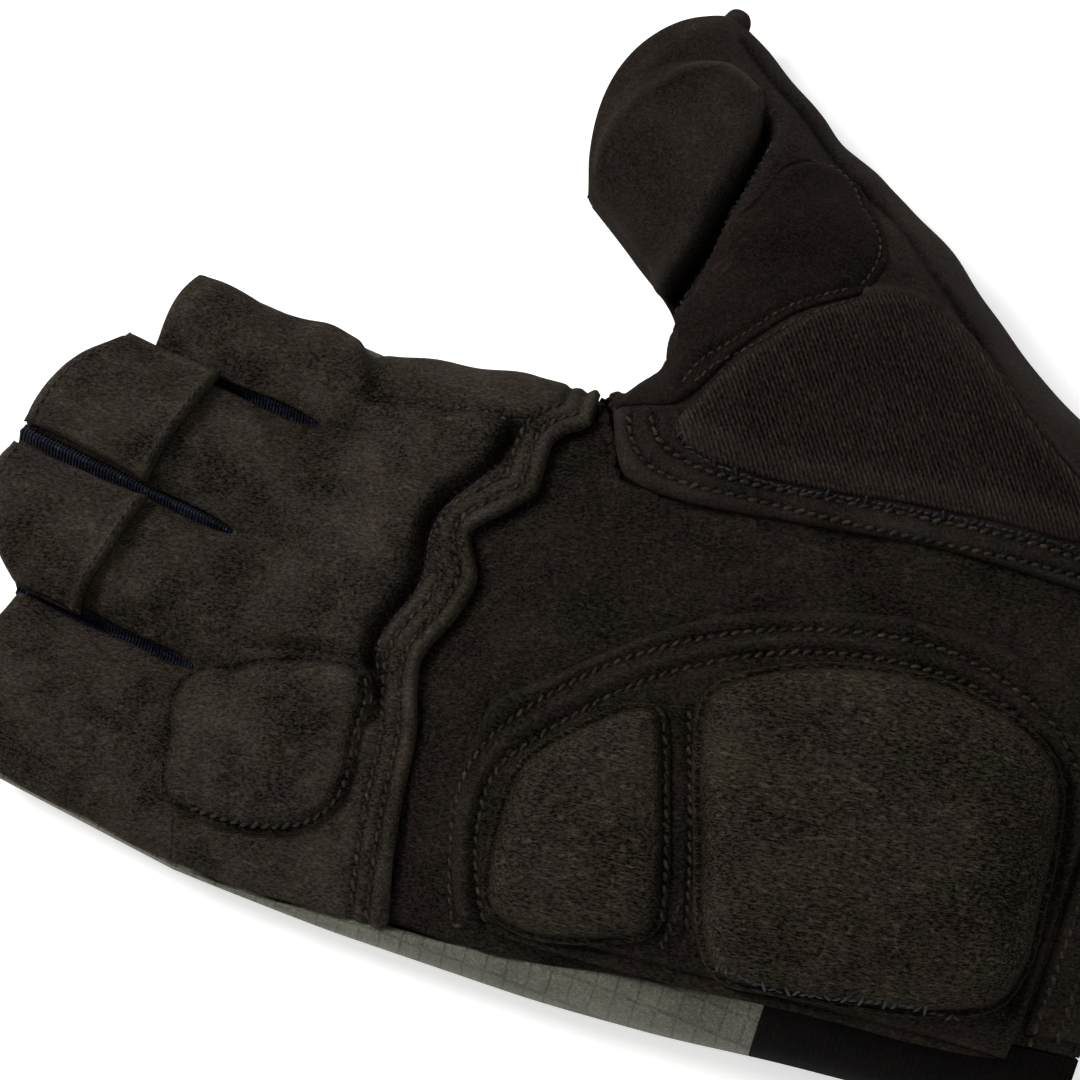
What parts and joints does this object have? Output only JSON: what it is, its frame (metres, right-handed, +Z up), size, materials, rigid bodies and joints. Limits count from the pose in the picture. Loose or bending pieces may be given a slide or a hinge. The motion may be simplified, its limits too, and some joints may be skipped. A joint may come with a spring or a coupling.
{
  "type": "cycling glove",
  "caption": "Half-finger cycling glove for the right hand, lying palm up, with padded heel, finger pull tabs and an open thumb.",
  "frame": {"origin": "on the surface that the glove lies on, under the middle of the hand", "axes": "+X towards the thumb's side, +Y towards the fingertips, +Z up, out of the palm"},
  "size_m": [0.1512, 0.1739, 0.0295],
  "materials": {
    "palm_suede": "microfibre suede, matt nap",
    "terry_cloth": "fine looped terry, matt",
    "ripstop": "ripstop weave, matt",
    "stretch_knit": "ribbed stretch knit",
    "elastic_knit": "woven elastic, matt"
  },
  "bodies": {
    "root": {"palm_panel": "palm_suede", "finger_panel": "palm_suede", "back_panel": "ripstop", "cuff_back": "elastic_knit", "thumb_panel": "palm_suede", "thumb_back": "palm_suede", "thumb_tip_pad": "palm_suede", "thumb_middle_panel": "palm_suede", "thumb_base_panel": "terry_cloth", "thumb_seam_end": "palm_suede", "gusset_little_ring": "stretch_knit", "gusset_ring_middle": "stretch_knit", "gusset_middle_index": "stretch_knit", "pull_tab_ring": "palm_suede", "pull_tab_middle": "palm_suede", "heel_patch": "palm_suede", "heel_pad": "palm_suede", "heel_pad_small": "palm_suede", "little_finger_pad": "palm_suede", "wrist_hem": "palm_suede"}
  },
  "joints": []
}
